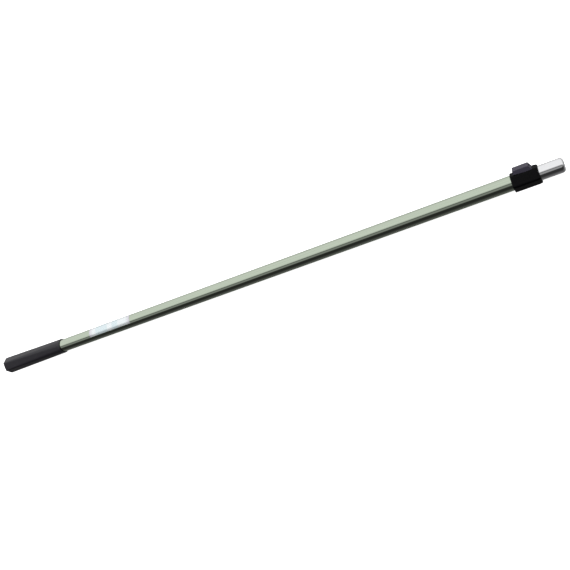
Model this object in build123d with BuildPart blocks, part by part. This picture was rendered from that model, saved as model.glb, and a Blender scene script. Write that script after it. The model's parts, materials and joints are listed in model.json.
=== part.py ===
from build123d import *

import os
from math import cos, radians, sin, tan

# Telescopic roller extension pole, closed. It lies along X: the butt face of the grip is at
# x = 0 on the pole's axis, the tool spigot points along +X, and the lock button is on top (+Z).

# ---- Driving dimensions, in millimetres ----

POLE_LENGTH = 1326.0  # butt face to nose, closed
TRAVEL = 1100.0
TUBE_R, TUBE_WALL = 14.3, 1.0
INNER_R, INNER_WALL = 12.2, 1.2
HOUSING_FLATS = 33.6

GRIP_LENGTH = 172.0
GRIP_BUTT_FLATS, GRIP_RIM_FLATS = 33.8, 32.0
GRIP_CORNER, GRIP_RIM_CORNER = 4.0, 13.0
GRIP_END_WALL = 3.0
BUTT_ROUNDING = 2.6

LABEL_START, LABEL_LENGTH = 260.0, 113.0
LABEL_THICKNESS = 0.2
LABEL_HALF_ANGLE = 72.0  # each side of straight up

HOUSING_START, HOUSING_LENGTH = 1232.6, 46.3
HOUSING_TOP, HOUSING_TOP_HALF_WIDTH = 17.0, 6.8  # its narrow flat top, under the button
HOUSING_CORNER = 4.0
HOUSING_EDGE, RING_CHAMFER = 0.8, 1.1
TUBE_IN_HOUSING = 21.0
RING_LENGTH, RING_STEP, RING_BORE_R = 3.7, 0.5, 12.5
RING_LIP = 2.0

# The lock's places along the pole are measured from the housing's back face.
PIVOT_X, PIVOT_Z, PIVOT_R = HOUSING_START + 28.0, 14.4, 1.0
PIVOT_HALF_LENGTH = 7.2
PRESS_ANGLE = 5.0
BUTTON_START, BUTTON_END = HOUSING_START + 7.1, HOUSING_START + 40.6
BUTTON_CROWN_END = HOUSING_START + 36.4
BUTTON_TOP, BUTTON_HALF_WIDTH = 26.9, 7.2
STEM_START, STEM_END = HOUSING_START + 25.0, HOUSING_START + 38.5
STEM_HALF_WIDTH = 5.6
SLOT_START, SLOT_END = HOUSING_START + 10.4, HOUSING_START + 39.5
SPRING_X, SPRING_TOP = HOUSING_START + 13.6, 22.0
SPRING_R, SPRING_WIRE_R, SPRING_TURNS = 2.2, 0.25, 6
POCKET_GAP = 1.0  # round the spring, since the pocket swings along the pole as the button rocks
PAWL_X, PAWL_TOP = HOUSING_START + 34.0, 20.0
PAWL_THICKNESS, PAWL_HALF_WIDTH = 3.0, 4.0

SPIGOT_R, NOSE_ROUNDING = 13.8, 6.0
THREAD_R = 3.35  # minor radius of an M8 thread
THREAD_DEPTH = 20.0
INSERT_LENGTH = 34.0
TAIL_X = 42.0

# ---- Clearances ----

SEAT_GAP = 0.04  # between pieces fixed together
SLIDE_GAP = 0.06  # between pieces that slide or turn
TOUCH_GAP = 0.05  # pawl to tube, locked
SLOT_GAP = 0.2
PIN_FIT = 0.01  # the pivot pin in the cheeks
POCKET_HEADROOM = 0.1  # above the spring

# ---- Places worked out from them ----

tube_bore_r = TUBE_R - TUBE_WALL
inner_bore_r = INNER_R - INNER_WALL
glide_r = tube_bore_r - SLIDE_GAP
tube_end = HOUSING_START + TUBE_IN_HOUSING
housing_end = HOUSING_START + HOUSING_LENGTH
ring_end = housing_end + RING_LENGTH
facet_r = HOUSING_FLATS / 2  # axis to the housing's lower facets

os.makedirs("parts", exist_ok=True)


def save(part, name):
    part.part.label = name
    export_step(part.part, f"parts/{name}.step")


def ring_profile(x_from, x_to, r_in, r_out):
    """A rectangle in the X-radius half plane, to be turned about the pole's axis."""
    Polyline((x_from, r_in), (x_to, r_in), (x_to, r_out), (x_from, r_out), close=True)


def rounded_hexagon(sketch, across_flats, corner):
    """A regular hexagon with flats above and below."""
    RegularPolygon(across_flats / 2, 6, major_radius=False)
    fillet(sketch.vertices(), corner)


def raised_hexagon(sketch, inset):
    """The housing's outline: a hexagon whose top is raised to a narrower flat."""
    low = facet_r - inset
    side = low / cos(radians(30))
    top, top_side = HOUSING_TOP - inset, HOUSING_TOP_HALF_WIDTH - inset / 2
    Polygon((-side, 0), (-side / 2, -low), (side / 2, -low), (side, 0), (top_side, top), (-top_side, top))
    fillet(sketch.vertices(), HOUSING_CORNER)


def band_sector(r_in, r_out, half_angle):
    """The outline of a ring sector centred on straight up, in a YZ plane."""
    swing = radians(half_angle)
    side, up = sin(swing), cos(swing)
    inside = ThreePointArc((-r_in * side, r_in * up), (0, r_in), (r_in * side, r_in * up))
    outside = ThreePointArc((-r_out * side, r_out * up), (0, r_out), (r_out * side, r_out * up))
    Line(inside @ 0, outside @ 0)
    Line(inside @ 1, outside @ 1)


# ---- Housing screws: two short self-tappers in the housing's lower back facet ----

SCREW_PLACES = (HOUSING_START + 5.5, HOUSING_START + 15.0)
SCREW_HEAD_R, SCREW_HEAD_DEPTH, SCREW_SHANK_R = 2.5, 0.9, 1.4
SCREW_SUNK = 0.2  # head below the facet
SCREW_TIP_R = tube_bore_r + 0.1  # ends inside the tube's wall
CROSS_LENGTH, CROSS_WIDTH, CROSS_DEPTH = 3.0, 0.6, 0.5


def screw_place(x):
    """The plane of the lower back facet at a screw, looking out of the housing."""
    facing = (0, cos(radians(-30)), sin(radians(-30)))
    return Plane(origin=(x, facet_r * facing[1], facet_r * facing[2]), x_dir=(1, 0, 0), z_dir=facing)


with BuildPart() as housing_screws:
    for screw_x in SCREW_PLACES:
        head_plane = screw_place(screw_x).offset(-SCREW_SUNK)
        with BuildSketch(head_plane):
            Circle(SCREW_HEAD_R)
        extrude(amount=-SCREW_HEAD_DEPTH)
        with BuildSketch(head_plane):
            Circle(SCREW_SHANK_R)
        extrude(amount=-(facet_r - SCREW_SUNK - SCREW_TIP_R))
        with BuildSketch(head_plane):
            Rectangle(CROSS_LENGTH, CROSS_WIDTH)
            Rectangle(CROSS_WIDTH, CROSS_LENGTH)
        extrude(amount=-CROSS_DEPTH, mode=Mode.SUBTRACT)
save(housing_screws, "housing_screws")

# ---- Butt plug: a flanged plug in the outer tube's butt end ----

PLUG_FLANGE, PLUG_LENGTH = 1.5, 24.0
PLUG_FLOOR, PLUG_WALL = 2.0, 2.5
tube_start = GRIP_END_WALL + PLUG_FLANGE

with BuildPart() as butt_plug:
    with BuildSketch():
        with BuildLine():
            ring_profile(GRIP_END_WALL + SEAT_GAP, tube_start - SEAT_GAP, 0, TUBE_R - 0.1)
        make_face()
        with BuildLine():
            ring_profile(tube_start - SEAT_GAP, PLUG_LENGTH, 0, tube_bore_r - SEAT_GAP)
        make_face()
        with BuildLine():
            ring_profile(tube_start + PLUG_FLOOR, PLUG_LENGTH, 0, tube_bore_r - PLUG_WALL)
        make_face(mode=Mode.SUBTRACT)
    revolve(axis=Axis.X)
save(butt_plug, "butt_plug")

# ---- Grip: moulded rubber sleeve, a rounded hexagon at the butt that goes nearly round ----

with BuildPart() as grip:
    with BuildSketch(Plane.YZ) as butt_outline:
        rounded_hexagon(butt_outline, GRIP_BUTT_FLATS, GRIP_CORNER)
    with BuildSketch(Plane.YZ.offset(GRIP_LENGTH)) as rim_outline:
        rounded_hexagon(rim_outline, GRIP_RIM_FLATS, GRIP_RIM_CORNER)
    loft(ruled=True)
    fillet(grip.faces().sort_by(Axis.X)[0].edges(), BUTT_ROUNDING)
    with BuildSketch(Plane.YZ.offset(GRIP_END_WALL)):
        Circle(TUBE_R + SEAT_GAP)
    extrude(amount=GRIP_LENGTH, mode=Mode.SUBTRACT)
save(grip, "grip")

# ---- Outer tube: green anodised aluminium ----

with BuildPart() as outer_tube:
    with BuildSketch(Plane.YZ.offset(tube_start)):
        Circle(TUBE_R)
        Circle(tube_bore_r, mode=Mode.SUBTRACT)
    extrude(amount=tube_end - tube_start)
    for screw_x in SCREW_PLACES:
        with BuildSketch(screw_place(screw_x)):
            Circle(SCREW_SHANK_R + SEAT_GAP)
        extrude(amount=-(facet_r - tube_bore_r + 1), mode=Mode.SUBTRACT)
save(outer_tube, "outer_tube")

# ---- Label: a thin sticker round the upper side of the tube ----

with BuildPart() as label:
    label_r = TUBE_R + 0.02
    with BuildSketch(Plane.YZ.offset(LABEL_START)):
        with BuildLine():
            band_sector(label_r, label_r + LABEL_THICKNESS, LABEL_HALF_ANGLE)
        make_face()
    extrude(amount=LABEL_LENGTH)
save(label, "label")

# ---- Lock housing: nylon collar with a slot for the button's stem ----

slot_half_width = STEM_HALF_WIDTH + SLOT_GAP

with BuildPart() as lock_housing:
    with BuildSketch(Plane.YZ.offset(HOUSING_START)) as housing_outline:
        raised_hexagon(housing_outline, 0)
    extrude(amount=HOUSING_LENGTH)
    fillet(lock_housing.faces().sort_by(Axis.X)[0].edges(), HOUSING_EDGE)
    with BuildSketch(Plane.YZ.offset(HOUSING_START)):
        Circle(TUBE_R + SEAT_GAP)
    extrude(amount=HOUSING_LENGTH, mode=Mode.SUBTRACT)
    with BuildSketch(Plane.XY.offset(tube_bore_r - 4)):
        with Locations(((SLOT_START + SLOT_END) / 2, 0)):
            RectangleRounded(SLOT_END - SLOT_START, 2 * slot_half_width, 1.0)
    extrude(amount=BUTTON_TOP, mode=Mode.SUBTRACT)
    pin_hole_depth = PIVOT_HALF_LENGTH + SEAT_GAP  # blind, drilled from the back
    with BuildSketch(Plane.XZ.offset(pin_hole_depth)):
        with Locations((PIVOT_X, PIVOT_Z)):
            Circle(PIVOT_R + PIN_FIT)
    extrude(amount=-(pin_hole_depth + HOUSING_FLATS), mode=Mode.SUBTRACT)
    for screw_x in SCREW_PLACES:
        with BuildSketch(screw_place(screw_x)):
            Circle(SCREW_HEAD_R + SEAT_GAP)
        extrude(amount=-(SCREW_HEAD_DEPTH + SCREW_SUNK + SEAT_GAP), mode=Mode.SUBTRACT)
        with BuildSketch(screw_place(screw_x)):
            Circle(SCREW_SHANK_R + SEAT_GAP)
        extrude(amount=-(facet_r - tube_bore_r), mode=Mode.SUBTRACT)
save(lock_housing, "lock_housing")

# ---- Guide bush: acetal, ahead of the outer tube, with a window for the pawl and a key ----

FLUTE_WIDTH, FLUTE_DEPTH = 3.0, 0.8
guide_start = tube_end + SEAT_GAP
guide_end = housing_end - RING_LIP
guide_bore_r = INNER_R + SLIDE_GAP
key_top_r = INNER_R - FLUTE_DEPTH + 0.15

with BuildPart() as guide_bush:
    with BuildSketch(Plane.YZ.offset(guide_start)):
        Circle(TUBE_R)
        Circle(guide_bore_r, mode=Mode.SUBTRACT)
    extrude(amount=guide_end - guide_start)
    with BuildSketch(Plane.YZ.offset(guide_start)):
        with Locations((0, -(key_top_r + TUBE_R - 0.5) / 2)):
            Rectangle(FLUTE_WIDTH - 0.4, TUBE_R - 0.5 - key_top_r)
    extrude(amount=guide_end - guide_start)
    with BuildSketch(Plane.XY.offset(tube_bore_r - 5)):
        with Locations(((STEM_START - 1 + SLOT_END) / 2, 0)):
            Rectangle(SLOT_END - STEM_START + 1, 2 * slot_half_width)
    extrude(amount=BUTTON_TOP, mode=Mode.SUBTRACT)
save(guide_bush, "guide_bush")

# ---- End ring: closes the housing's tip end, with a chamfered rim ----

with BuildPart() as end_ring:
    with BuildSketch(Plane.YZ.offset(housing_end + SEAT_GAP)) as ring_outline:
        raised_hexagon(ring_outline, RING_STEP)
    extrude(amount=RING_LENGTH - SEAT_GAP)
    chamfer(end_ring.faces().sort_by(Axis.X)[-1].edges(), RING_CHAMFER)
    with BuildSketch(Plane.YZ.offset(guide_end + SEAT_GAP)):
        Circle(TUBE_R)
    extrude(amount=RING_LIP)
    with BuildSketch(Plane.YZ.offset(guide_end)):
        Circle(RING_BORE_R)
    extrude(amount=RING_LIP + RING_LENGTH + 1, mode=Mode.SUBTRACT)
save(end_ring, "end_ring")

# ---- Pivot pin: steel, fixed in the housing's cheeks ----

with BuildPart() as pivot_pin:
    with BuildSketch(Plane.XZ):
        with Locations((PIVOT_X, PIVOT_Z)):
            Circle(PIVOT_R)
    extrude(amount=PIVOT_HALF_LENGTH, both=True)
save(pivot_pin, "pivot_pin")

# ---- Lock button: nylon rocker; its underside rises to the back to leave room for the press ----

UNDER_GAP = 0.2
RISE = tan(radians(PRESS_ANGLE)) * 1.05  # a little more than the press needs
STEM_SADDLE_R = 12.75
SIDE_DRAFT, CROWN_ROUNDING = 0.7, 1.2
SKIRT = 0.5  # upright foot of the button's sides, at its back end
GROOVE_COUNT, GROOVE_PITCH, GROOVE_R = 6, 3.6, 0.7
RECESS_X = (BUTTON_END + BUTTON_CROWN_END) / 2  # a small dimple in the sloping end
RECESS_LENGTH, RECESS_WIDTH, RECESS_FLOOR = 3.4, 9.0, 3.4
under_z = HOUSING_TOP + UNDER_GAP
back_under_z = under_z + RISE * (PIVOT_X - BUTTON_START)

with BuildPart() as lock_button:
    with BuildSketch(Plane.XZ):
        with BuildLine():
            Polyline(
                (BUTTON_START, back_under_z),
                (PIVOT_X, under_z),
                (BUTTON_END, under_z),
                (BUTTON_CROWN_END, BUTTON_TOP),
                (BUTTON_START + 0.9, BUTTON_TOP),
                close=True,
            )
        make_face()
    extrude(amount=BUTTON_HALF_WIDTH, both=True)
    crown = lock_button.faces().sort_by(Axis.Z)[-1]
    long_edges = crown.edges().filter_by(Axis.X)
    chamfer(long_edges, SIDE_DRAFT, BUTTON_TOP - back_under_z - SKIRT, reference=crown)
    fillet(lock_button.edges().filter_by(Axis.X).group_by(Axis.Z)[-1], CROWN_ROUNDING)
    with BuildSketch(Plane.XZ):
        for count in range(GROOVE_COUNT):
            with Locations((BUTTON_START + 5.4 + count * GROOVE_PITCH, BUTTON_TOP + 0.2)):
                Circle(GROOVE_R)
    extrude(amount=BUTTON_HALF_WIDTH, both=True, mode=Mode.SUBTRACT)
    with BuildSketch(Plane.XY.offset(under_z + RECESS_FLOOR)):
        with Locations((RECESS_X, 0)):
            RectangleRounded(RECESS_LENGTH, RECESS_WIDTH, RECESS_LENGTH / 2 - 0.1)
    extrude(amount=BUTTON_TOP, mode=Mode.SUBTRACT)
    with BuildSketch(Plane.XY.offset(INNER_R - 1)):
        with Locations(((STEM_START + STEM_END) / 2, 0)):
            Rectangle(STEM_END - STEM_START, 2 * STEM_HALF_WIDTH)
    extrude(amount=under_z + 1 - INNER_R + 1)
    with BuildSketch(Plane.YZ.offset(STEM_START - 1)):
        Circle(STEM_SADDLE_R)
    extrude(amount=STEM_END - STEM_START + 2, mode=Mode.SUBTRACT)
    with BuildSketch(Plane.XZ):
        with Locations((PIVOT_X, PIVOT_Z)):
            Circle(PIVOT_R + SLIDE_GAP)
    extrude(amount=BUTTON_HALF_WIDTH, both=True, mode=Mode.SUBTRACT)
    with BuildSketch(Plane.XY.offset(INNER_R - 1)):
        with Locations((PAWL_X, 0)):
            Rectangle(PAWL_THICKNESS + 2 * SEAT_GAP, 2 * (PAWL_HALF_WIDTH + SEAT_GAP))
    extrude(amount=PAWL_TOP + SEAT_GAP - INNER_R + 1, mode=Mode.SUBTRACT)
    with BuildSketch(Plane.XY.offset(HOUSING_TOP)):
        with Locations((SPRING_X, 0)):
            Circle(SPRING_R + SPRING_WIRE_R + POCKET_GAP)
    extrude(amount=SPRING_TOP + POCKET_HEADROOM - HOUSING_TOP, mode=Mode.SUBTRACT)
save(lock_button, "lock_button")

# ---- Pawl: hardened steel, with a hollow nose that fits the inner tube ----

with BuildPart() as pawl:
    with BuildSketch(Plane.XY.offset(INNER_R - 1)):
        with Locations((PAWL_X, 0)):
            Rectangle(PAWL_THICKNESS, 2 * PAWL_HALF_WIDTH)
    extrude(amount=PAWL_TOP - INNER_R + 1)
    with BuildSketch(Plane.YZ.offset(PAWL_X - PAWL_THICKNESS)):
        Circle(INNER_R + TOUCH_GAP)
    extrude(amount=2 * PAWL_THICKNESS, mode=Mode.SUBTRACT)
save(pawl, "pawl")

# ---- Button spring: steel coil between the outer tube's top and the button's pocket ----

spring_floor = TUBE_R + SPRING_WIRE_R + 0.05
spring_height = SPRING_TOP - SPRING_WIRE_R - spring_floor

with BuildPart() as button_spring:
    with BuildLine(Plane(origin=(SPRING_X, 0, spring_floor))) as coil:
        Helix(pitch=spring_height / SPRING_TURNS, height=spring_height, radius=SPRING_R)
    with BuildSketch(Plane(origin=coil.line @ 0, z_dir=coil.line % 0)):
        Circle(SPRING_WIRE_R)
    sweep(is_frenet=True)
save(button_spring, "button_spring")

# ---- Inner tube: bright aluminium, with a rolled flute underneath ----

BUMP_HALF_WIDTH = 2.5
inner_end = POLE_LENGTH - 10.0
bump_r = inner_bore_r - FLUTE_DEPTH
stop_end = guide_start - TRAVEL - 0.1
STOP_LENGTH = 15.0
stop_pin_x = stop_end - STOP_LENGTH / 2
STOP_PIN_R, FERRULE_PIN_R = 1.5, 1.5
ferrule_pin_x = ring_end + 14.0

with BuildPart() as inner_tube:
    with BuildSketch(Plane.YZ.offset(TAIL_X)):
        Circle(INNER_R)
        Circle(inner_bore_r, mode=Mode.SUBTRACT)
        with Locations((0, -(bump_r + inner_bore_r + 0.4) / 2)):
            Rectangle(2 * BUMP_HALF_WIDTH, inner_bore_r + 0.4 - bump_r)
        with Locations((0, -INNER_R)):
            Rectangle(FLUTE_WIDTH, 2 * FLUTE_DEPTH, mode=Mode.SUBTRACT)
    extrude(amount=inner_end - TAIL_X)
    with BuildSketch(Plane.XZ):
        with Locations((stop_pin_x, 0)):
            Circle(STOP_PIN_R + SEAT_GAP)
    extrude(amount=INNER_R + 1, both=True, mode=Mode.SUBTRACT)
    with BuildSketch(Plane.XZ):
        with Locations((ferrule_pin_x, 0)):
            Circle(FERRULE_PIN_R + SEAT_GAP)
    extrude(amount=-(INNER_R + 1), mode=Mode.SUBTRACT)
save(inner_tube, "inner_tube")

# ---- Stop sleeve on the inner tube, and the two pins that hold it ----

with BuildPart() as stop_sleeve:
    with BuildSketch(Plane.YZ.offset(stop_end - STOP_LENGTH)):
        Circle(glide_r)
        Circle(INNER_R + SEAT_GAP, mode=Mode.SUBTRACT)
    extrude(amount=STOP_LENGTH)
    with BuildSketch(Plane.XZ):
        with Locations((stop_pin_x, 0)):
            Circle(STOP_PIN_R + SEAT_GAP)
    extrude(amount=TUBE_R, both=True, mode=Mode.SUBTRACT)
save(stop_sleeve, "stop_sleeve")

with BuildPart() as stop_pins:
    for side in (-1, 1):
        with BuildSketch(Plane.XZ.offset(side * (inner_bore_r - 0.8))):
            with Locations((stop_pin_x, 0)):
                Circle(STOP_PIN_R)
        extrude(amount=side * (glide_r - 0.2 - inner_bore_r + 0.8))
save(stop_pins, "stop_pins")


def keyway_profile():
    """What a plug in the inner tube loses to clear the flute's bump, in a YZ plane."""
    with Locations((0, -inner_bore_r)):
        Rectangle(2 * BUMP_HALF_WIDTH + 0.4, 2 * (FLUTE_DEPTH + SEAT_GAP))


# ---- Tail plug: closes the inner tube; its flange runs in the outer tube ----

TAIL_FLANGE, TAIL_STEM = 6.0, 16.0
TAIL_FLOOR, TAIL_WALL = 2.0, 3.0

with BuildPart() as tail_plug:
    with BuildSketch():
        with BuildLine():
            ring_profile(TAIL_X - TAIL_FLANGE, TAIL_X - SEAT_GAP, 0, glide_r)
        make_face()
        with BuildLine():
            ring_profile(TAIL_X - SEAT_GAP, TAIL_X + TAIL_STEM, 0, inner_bore_r - SEAT_GAP)
        make_face()
        with BuildLine():
            ring_profile(TAIL_X + TAIL_FLOOR, TAIL_X + TAIL_STEM, 0, inner_bore_r - TAIL_WALL)
        make_face(mode=Mode.SUBTRACT)
    revolve(axis=Axis.X)
    with BuildSketch(Plane.YZ.offset(TAIL_X - SEAT_GAP)):
        keyway_profile()
    extrude(amount=TAIL_STEM + SEAT_GAP, mode=Mode.SUBTRACT)
save(tail_plug, "tail_plug")

# ---- Tip insert: threaded, in the inner tube's end, its neck through the ferrule's nose ----

NECK_R, FERRULE_FLOOR = 5.5, 6.0
nose_floor = POLE_LENGTH - FERRULE_FLOOR
neck_end = POLE_LENGTH - 0.5

with BuildPart() as tip_insert:
    with BuildSketch():
        with BuildLine():
            ring_profile(nose_floor - INSERT_LENGTH, nose_floor - SEAT_GAP, 0, inner_bore_r - SEAT_GAP)
        make_face()
        with BuildLine():
            ring_profile(nose_floor - SEAT_GAP, neck_end, 0, NECK_R)
        make_face()
        with BuildLine():
            ring_profile(neck_end - THREAD_DEPTH, POLE_LENGTH, 0, THREAD_R)
        make_face(mode=Mode.SUBTRACT)
    revolve(axis=Axis.X)
    with BuildSketch(Plane.YZ.offset(nose_floor - INSERT_LENGTH)):
        keyway_profile()
    extrude(amount=inner_end - nose_floor + INSERT_LENGTH, mode=Mode.SUBTRACT)
    with BuildSketch(Plane.XZ.offset(-(inner_bore_r - 5))):
        with Locations((ferrule_pin_x, 0)):
            Circle(FERRULE_PIN_R + SEAT_GAP)
    extrude(amount=-SPIGOT_R, mode=Mode.SUBTRACT)
save(tip_insert, "tip_insert")

# ---- Tip ferrule: chromed spigot cap over the inner tube's end ----

SHUT_GAP = 0.5  # ferrule to end ring when closed
ferrule_start = ring_end + SHUT_GAP
flat_r = SPIGOT_R - NOSE_ROUNDING

with BuildPart() as tip_ferrule:
    with BuildSketch():
        with BuildLine():
            back = Line((ferrule_start, 0), (ferrule_start, SPIGOT_R))
            side = Line(back @ 1, (POLE_LENGTH - NOSE_ROUNDING, SPIGOT_R))
            nose = RadiusArc(side @ 1, (POLE_LENGTH, flat_r), NOSE_ROUNDING)
            face = Line(nose @ 1, (POLE_LENGTH, 0))
            Line(face @ 1, back @ 0)
        make_face()
        with BuildLine():
            ring_profile(ferrule_start, nose_floor, 0, INNER_R + SEAT_GAP)
        make_face(mode=Mode.SUBTRACT)
        with BuildLine():
            ring_profile(nose_floor - 1, POLE_LENGTH, 0, NECK_R + SEAT_GAP)
        make_face(mode=Mode.SUBTRACT)
    revolve(axis=Axis.X)
    with BuildSketch(Plane.XZ):
        with Locations((ferrule_pin_x, 0)):
            Circle(FERRULE_PIN_R + SEAT_GAP)
    extrude(amount=-(SPIGOT_R + 1), mode=Mode.SUBTRACT)
save(tip_ferrule, "tip_ferrule")

# ---- Ferrule pin: flush, from the back, through ferrule and tube into the insert ----

with BuildPart() as ferrule_pin:
    with BuildSketch(Plane.XZ.offset(-(inner_bore_r - 4.8))):
        with Locations((ferrule_pin_x, 0)):
            Circle(FERRULE_PIN_R)
    extrude(amount=-(SPIGOT_R - 0.3 - inner_bore_r + 4.8))
save(ferrule_pin, "ferrule_pin")
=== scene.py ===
import json
from math import pi, radians

import bpy
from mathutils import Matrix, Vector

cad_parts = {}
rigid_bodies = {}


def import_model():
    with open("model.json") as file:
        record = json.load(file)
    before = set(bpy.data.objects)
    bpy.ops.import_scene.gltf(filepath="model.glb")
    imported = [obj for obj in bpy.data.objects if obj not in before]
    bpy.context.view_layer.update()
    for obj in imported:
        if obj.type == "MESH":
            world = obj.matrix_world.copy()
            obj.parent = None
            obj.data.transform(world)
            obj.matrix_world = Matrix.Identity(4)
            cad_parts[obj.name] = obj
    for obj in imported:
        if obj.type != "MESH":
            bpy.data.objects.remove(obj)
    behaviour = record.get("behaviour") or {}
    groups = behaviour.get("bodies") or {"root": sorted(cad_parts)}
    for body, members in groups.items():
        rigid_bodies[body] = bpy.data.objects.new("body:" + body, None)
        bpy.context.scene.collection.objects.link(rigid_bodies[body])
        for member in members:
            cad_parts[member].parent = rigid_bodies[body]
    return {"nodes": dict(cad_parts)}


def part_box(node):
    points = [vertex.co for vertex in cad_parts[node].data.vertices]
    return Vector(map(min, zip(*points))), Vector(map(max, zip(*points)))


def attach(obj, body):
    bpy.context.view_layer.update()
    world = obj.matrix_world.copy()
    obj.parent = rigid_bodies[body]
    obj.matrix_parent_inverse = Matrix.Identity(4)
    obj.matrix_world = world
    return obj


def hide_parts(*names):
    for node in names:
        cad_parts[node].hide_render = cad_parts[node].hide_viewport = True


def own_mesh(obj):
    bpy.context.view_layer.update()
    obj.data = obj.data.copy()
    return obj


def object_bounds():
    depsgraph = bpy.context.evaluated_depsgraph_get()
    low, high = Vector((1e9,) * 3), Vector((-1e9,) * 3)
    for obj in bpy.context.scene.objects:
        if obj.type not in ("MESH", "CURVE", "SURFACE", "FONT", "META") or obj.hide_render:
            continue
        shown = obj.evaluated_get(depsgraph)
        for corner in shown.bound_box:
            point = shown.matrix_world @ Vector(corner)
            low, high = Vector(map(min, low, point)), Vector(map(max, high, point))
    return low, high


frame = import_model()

cad_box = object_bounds()
nodes = frame["nodes"]
MM = 0.001

# ---- Outer tube ----
# Drawn aluminium tube, polished and anodised a pale green. Drawing leaves hair-fine lines along it,
# and the dye sits in a clear oxide, so the metal keeps its mirror-like reflections.

TUBE_GREEN = "#CCD7C5"
TUBE_GREEN_DEEP = "#BFCBB9"
DRAW_LINE_WIDTH = 0.5 * MM
DRAW_LINE_LENGTH = 180 * MM
COLOUR_EDGES = (0.3, 0.7)  # the stretch of a noise over which a colour turns into the other


def paint(hex_colour):
    """An sRGB hex colour as linear RGBA."""
    parts = [int(hex_colour[i : i + 2], 16) / 255 for i in (1, 3, 5)]
    return [p / 12.92 if p <= 0.04045 else ((p + 0.055) / 1.055) ** 2.4 for p in parts] + [1.0]


def new_finish(name, metallic, roughness):
    """A fresh material; returns it with its node tree and its shader."""
    finish = bpy.data.materials.new(name)
    finish.use_nodes = True
    shader = finish.node_tree.nodes["Principled BSDF"]
    shader.inputs["Metallic"].default_value = metallic
    shader.inputs["Roughness"].default_value = roughness
    return finish, finish.node_tree, shader


def add_node(tree, kind, settings=None, values=None, links=None):
    """Adds a node with its settings, its sockets' values and what feeds its sockets."""
    node = tree.nodes.new(kind)
    for key, value in (settings or {}).items():
        setattr(node, key, value)
    for key, value in (values or {}).items():
        node.inputs[key].default_value = value
    for key, socket in (links or {}).items():
        tree.links.new(socket, node.inputs[key])
    return node


def two_colours(tree, shader, factor, dark, light):
    """Varies the shader's colour between two close colours."""
    ramp = add_node(tree, "ShaderNodeValToRGB", links={"Fac": factor})
    ramp.color_ramp.elements[0].color = paint(dark)
    ramp.color_ramp.elements[1].color = paint(light)
    ramp.color_ramp.elements[0].position = COLOUR_EDGES[0]
    ramp.color_ramp.elements[1].position = COLOUR_EDGES[1]
    tree.links.new(ramp.outputs["Color"], shader.inputs["Base Color"])


def vary_roughness(tree, shader, factor, low, high):
    """Varies the shader's roughness between two values."""
    spread = add_node(
        tree, "ShaderNodeMapRange", values={"To Min": low, "To Max": high}, links={"Value": factor}
    )
    tree.links.new(spread.outputs["Result"], shader.inputs["Roughness"])


def raise_bump(tree, shader, height, strength, distance):
    """Gives the shader a bump of a real depth in metres."""
    bump = add_node(
        tree,
        "ShaderNodeBump",
        values={"Strength": strength, "Distance": distance},
        links={"Height": height},
    )
    tree.links.new(bump.outputs["Normal"], shader.inputs["Normal"])


def drawn_lines(tree, width, length):
    """Noise pulled out along the pole, as a die leaves on a drawn tube."""
    place = add_node(tree, "ShaderNodeTexCoord")
    stretch = add_node(
        tree,
        "ShaderNodeMapping",
        values={"Scale": (1 / length, 1 / width, 1 / width)},
        links={"Vector": place.outputs["Object"]},
    )
    lines = add_node(
        tree,
        "ShaderNodeTexNoise",
        values={"Scale": 1.0, "Detail": 3.0},
        links={"Vector": stretch.outputs["Vector"]},
    )
    return lines.outputs["Fac"]


def speckle(tree, size, detail=4.0):
    """Noise of a real grain size in metres."""
    place = add_node(tree, "ShaderNodeTexCoord")
    grain = add_node(
        tree,
        "ShaderNodeTexNoise",
        values={"Scale": 1 / size, "Detail": detail},
        links={"Vector": place.outputs["Object"]},
    )
    return grain.outputs["Fac"]


def finish_node(name, finish):
    """Gives a CAD node's slots a finish."""
    for material_slot in nodes[name].material_slots:
        material_slot.material = finish


anodised, tree, shader = new_finish("green_anodised_aluminium", 1.0, 0.12)
lines = drawn_lines(tree, DRAW_LINE_WIDTH, DRAW_LINE_LENGTH)
two_colours(tree, shader, lines, TUBE_GREEN_DEEP, TUBE_GREEN)
vary_roughness(tree, shader, lines, 0.05, 0.11)
raise_bump(tree, shader, lines, 0.15, 0.01 * MM)
finish_node("outer_tube", anodised)

# ---- Butt plug and tail plug ----
# Injection-moulded nylon plugs that close the ends of the two tubes. They are pushed in and stay
# out of sight once the pole is together.

NYLON_SHEEN = 0.1

nylon, tree, shader = new_finish("black_moulded_nylon", 0.0, 0.45)
grain = speckle(tree, 0.35 * MM)
shader.inputs["Specular IOR Level"].default_value = NYLON_SHEEN
two_colours(tree, shader, grain, "#020203", "#050506")
vary_roughness(tree, shader, speckle(tree, 4 * MM), 0.22, 0.3)
raise_bump(tree, shader, grain, 0.35, 0.03 * MM)
for name in ("butt_plug", "tail_plug"):
    finish_node(name, nylon)

# ---- Grip ----
# Soft rubber sleeve moulded in one piece and pushed over the tube's end. Its facets are softly
# rounded, and the mould's spark-eroded skin gives it a dull sheen.

rubber, tree, shader = new_finish("black_moulded_rubber", 0.0, 0.5)
skin = speckle(tree, 0.8 * MM)
two_colours(tree, shader, skin, "#17161B", "#232128")
vary_roughness(tree, shader, speckle(tree, 9 * MM), 0.33, 0.42)
raise_bump(tree, shader, skin, 0.5, 0.06 * MM)
finish_node("grip", rubber)

# ---- Label ----
# Silvered polyester film with lilac ends, stuck round the upper side of the tube. The print is
# plain pale blocks, with no lettering, and the satin film blurs what it reflects.

LABEL_LILAC = "#DAD7E0"
LABEL_SILVER = "#F2F8FA"
LABEL_BLUE = "#E2F0F4"
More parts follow.
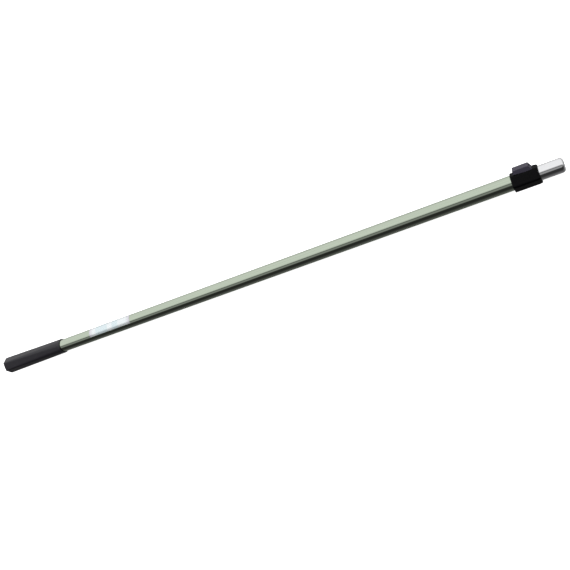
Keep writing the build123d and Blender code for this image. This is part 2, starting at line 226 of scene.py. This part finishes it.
# Each block's start and end, as parts of the label's length, and its ink.
LABEL_BLOCKS = (
    (0.09, 0.15, LABEL_SILVER),
    (0.17, 0.44, LABEL_BLUE),
    (0.46, 0.56, LABEL_SILVER),
    (0.58, 0.7, LABEL_BLUE),
    (0.72, 0.9, LABEL_SILVER),
)
label_low, label_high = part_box("label")
film, tree, shader = new_finish("silver_printed_film", 0.75, 0.27)
place = add_node(tree, "ShaderNodeTexCoord")
split = add_node(tree, "ShaderNodeSeparateXYZ", links={"Vector": place.outputs["Object"]})
along = add_node(
    tree,
    "ShaderNodeMapRange",
    values={"From Min": label_low[0], "From Max": label_high[0]},
    links={"Value": split.outputs["X"]},
)
print_ramp = add_node(tree, "ShaderNodeValToRGB", links={"Fac": along.outputs["Result"]})
ramp = print_ramp.color_ramp
ramp.elements[0].color = paint(LABEL_LILAC)
ramp.elements[1].color = paint(LABEL_LILAC)
for start, end, ink in LABEL_BLOCKS:
    ramp.elements.new(start).color = paint(ink)
    ramp.elements.new(end).color = paint(ink)
tree.links.new(print_ramp.outputs["Color"], shader.inputs["Base Color"])
finish_node("label", film)

# ---- Lock housing and end ring ----
# Black nylon collar on the outer tube's tip end, moulded as a hexagon, and the chamfered ring that
# closes it. Two screws in the back hold the collar to the tube.

for name in ("lock_housing", "end_ring"):
    finish_node(name, nylon)

# ---- Lock button ----
# Glass-filled nylon rocker, dark grey, moulded with thumb grooves. It is a shade lighter than the
# housing that it sits on.

button_nylon, tree, shader = new_finish("grey_moulded_nylon", 0.0, 0.42)
grain = speckle(tree, 0.4 * MM)
two_colours(tree, shader, grain, "#35323E", "#44414E")
vary_roughness(tree, shader, speckle(tree, 5 * MM), 0.36, 0.5)
raise_bump(tree, shader, grain, 0.35, 0.03 * MM)
finish_node("lock_button", button_nylon)

# ---- Guide bush and stop sleeve ----
# Natural acetal, turned and moulded, a milky white that is slightly waxy. It slides on aluminium
# without grease.

acetal, tree, shader = new_finish("natural_acetal", 0.0, 0.35)
two_colours(tree, shader, speckle(tree, 3 * MM), "#D8D7D0", "#E6E5DF")
for name in ("guide_bush", "stop_sleeve"):
    finish_node(name, acetal)

# ---- Inner tube and tip insert ----
# Bright drawn aluminium with a rolled flute, and a turned insert fixed in its end. Sliding leaves
# long faint rub lines on it.

bright, tree, shader = new_finish("bright_drawn_aluminium", 1.0, 0.18)
lines = drawn_lines(tree, DRAW_LINE_WIDTH, DRAW_LINE_LENGTH)
two_colours(tree, shader, lines, "#C4C6C8", "#D8DADC")
vary_roughness(tree, shader, lines, 0.14, 0.26)
for name in ("inner_tube", "tip_insert"):
    finish_node(name, bright)

# ---- Screws, pins, spring and pawl ----
# Small zinc-plated steel parts, cut and tumbled, so their plating has a slightly cloudy shine.

steel, tree, shader = new_finish("zinc_plated_steel", 1.0, 0.3)
two_colours(tree, shader, speckle(tree, 0.6 * MM), "#8E9094", "#A9ABAE")
for name in ("housing_screws", "pivot_pin", "pawl", "stop_pins", "ferrule_pin"):
    finish_node(name, steel)

# ---- Button spring ----
# Coil of zinc-plated steel wire, wound cold and ground flat. It stands on the outer tube in the
# button's pocket.

WELD = 0.002 * MM

bpy.ops.object.select_all(action="DESELECT")
rigid_coil = nodes["button_spring"]
rigid_coil.select_set(True)
bpy.context.view_layer.objects.active = rigid_coil
bpy.ops.object.duplicate()
coil = bpy.context.object
coil.name = "pressed_coil"
bpy.ops.object.parent_clear(type="CLEAR_KEEP_TRANSFORM")
bpy.ops.object.transform_apply(location=True, rotation=True, scale=True)
bpy.ops.object.mode_set(mode="EDIT")
bpy.ops.mesh.select_all(action="SELECT")
bpy.ops.mesh.remove_doubles(threshold=WELD)
bpy.ops.object.mode_set(mode="OBJECT")
bpy.ops.object.shade_smooth()
coil.data.materials.clear()
coil.data.materials.append(steel)
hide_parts("button_spring")
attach(coil, "handle")
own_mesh(coil)

# ---- Tip ferrule ----
# Steel spigot cap, polished and chromed, pressed over the inner tube. Pushing tools on and off
# leaves the faintest lines along it.

chrome, tree, shader = new_finish("polished_chrome_plate", 1.0, 0.07)
lines = drawn_lines(tree, 0.4 * MM, 30 * MM)
two_colours(tree, shader, lines, "#F1F2F4", "#F9F9FA")
vary_roughness(tree, shader, lines, 0.03, 0.07)
finish_node("tip_ferrule", chrome)

# ---- Studio ----
# A pale floor under one wide overhead softbox, with a low reflector in front and dark between them,
# so the polished tubes carry long clean reflections.

FLOOR_SIZE = 40.0
FLOOR_GLOW = 0.85
POLE_MIDDLE = 0.67  # along X
SOFTBOX_TILT, SOFTBOX_SPREAD = radians(44), radians(50)
SOFTBOX_LEVEL = 1.9
floor_z = cad_box[0][2]
bpy.ops.object.select_all(action="DESELECT")
bpy.ops.mesh.primitive_plane_add(size=FLOOR_SIZE, location=(POLE_MIDDLE, 0, floor_z))
floor = bpy.context.object
floor.name = "floor"
floor.visible_glossy = False
floor.visible_diffuse = False
paper, tree, shader = new_finish("white_paper_sweep", 0.0, 0.9)
shader.inputs["Base Color"].default_value = paint("#FAFAFA")
shader.inputs["Emission Color"].default_value = (1.0, 1.0, 1.0, 1.0)
shader.inputs["Emission Strength"].default_value = FLOOR_GLOW
floor.data.materials.append(paper)

# The light round the pole: an angle in degrees about its axis, with 0 in front, 90 overhead, 180
# behind and -90 below, and a level. It is the same all along the pole.
STUDIO_LIGHT = (
    (-180, 0.5),
    (-90, 0.15),
    (-40, 0.03),
    (-5, 0.03),
    (5, 0.3),
    (20, 0.3),
    (30, 0.1),
    (45, 0.9),
    (130, 0.9),
    (180, 0.5),
)


def light_bands(tree, angle, bands):
    """The light of one list of bands, as the colour of a ramp over the angle."""
    band_ramp = add_node(tree, "ShaderNodeValToRGB", links={"Fac": angle})
    ramp = band_ramp.color_ramp
    last = len(bands) - 1
    for index, (degrees_round, level) in enumerate(bands):
        position = (degrees_round + 180) / 360
        if 0 < index < last:
            stop = ramp.elements.new(position)
        else:
            stop = ramp.elements[0 if index == 0 else -1]
        stop.position = position
        stop.color = (level, level, level, 1.0)
    return band_ramp.outputs["Color"]


world = bpy.data.worlds.new("studio")
bpy.context.scene.world = world
world.use_nodes = True
tree = world.node_tree
background = tree.nodes["Background"]
place = add_node(tree, "ShaderNodeTexCoord")
split = add_node(tree, "ShaderNodeSeparateXYZ", links={"Vector": place.outputs["Generated"]})
front = add_node(
    tree,
    "ShaderNodeMath",
    {"operation": "MULTIPLY"},
    {1: -1.0},
    {0: split.outputs["Y"]},
)
turn = add_node(
    tree,
    "ShaderNodeMath",
    {"operation": "ARCTAN2"},
    links={0: split.outputs["Z"], 1: front.outputs["Value"]},
)
band = add_node(
    tree,
    "ShaderNodeMapRange",
    values={"From Min": -pi, "From Max": pi},
    links={"Value": turn.outputs["Value"]},
)
room = light_bands(tree, band.outputs["Result"], STUDIO_LIGHT)
seen = add_node(tree, "ShaderNodeLightPath")
mixed = add_node(
    tree,
    "ShaderNodeMix",
    {"data_type": "RGBA"},
    links={"Factor": seen.outputs["Is Camera Ray"], "A": room},
)
mixed.inputs["B"].default_value = (1.0, 1.0, 1.0, 1.0)
tree.links.new(mixed.outputs["Result"], background.inputs["Color"])

bpy.ops.object.light_add(
    type="SUN", location=(POLE_MIDDLE, -1.0, 3.0), rotation=(SOFTBOX_TILT, 0, 0)
)
overhead = bpy.context.object
overhead.name = "overhead_softbox"
overhead.data.energy = SOFTBOX_LEVEL
overhead.data.angle = SOFTBOX_SPREAD
overhead.visible_glossy = False

scene = bpy.context.scene
scene.view_settings.view_transform = "Standard"

CAMERA_PLACE = (1.4389, -1.3391, 0.8292)
CAMERA_TURN = (55.097, 29.044, 9.014)  # degrees
CAMERA_LENS = 53.7
CAMERA_NEAR = 0.01

bpy.ops.object.camera_add(location=CAMERA_PLACE)
camera = bpy.context.object
camera.rotation_euler = [radians(degrees) for degrees in CAMERA_TURN]
camera.data.lens = CAMERA_LENS
camera.data.clip_start = CAMERA_NEAR
scene.camera = camera
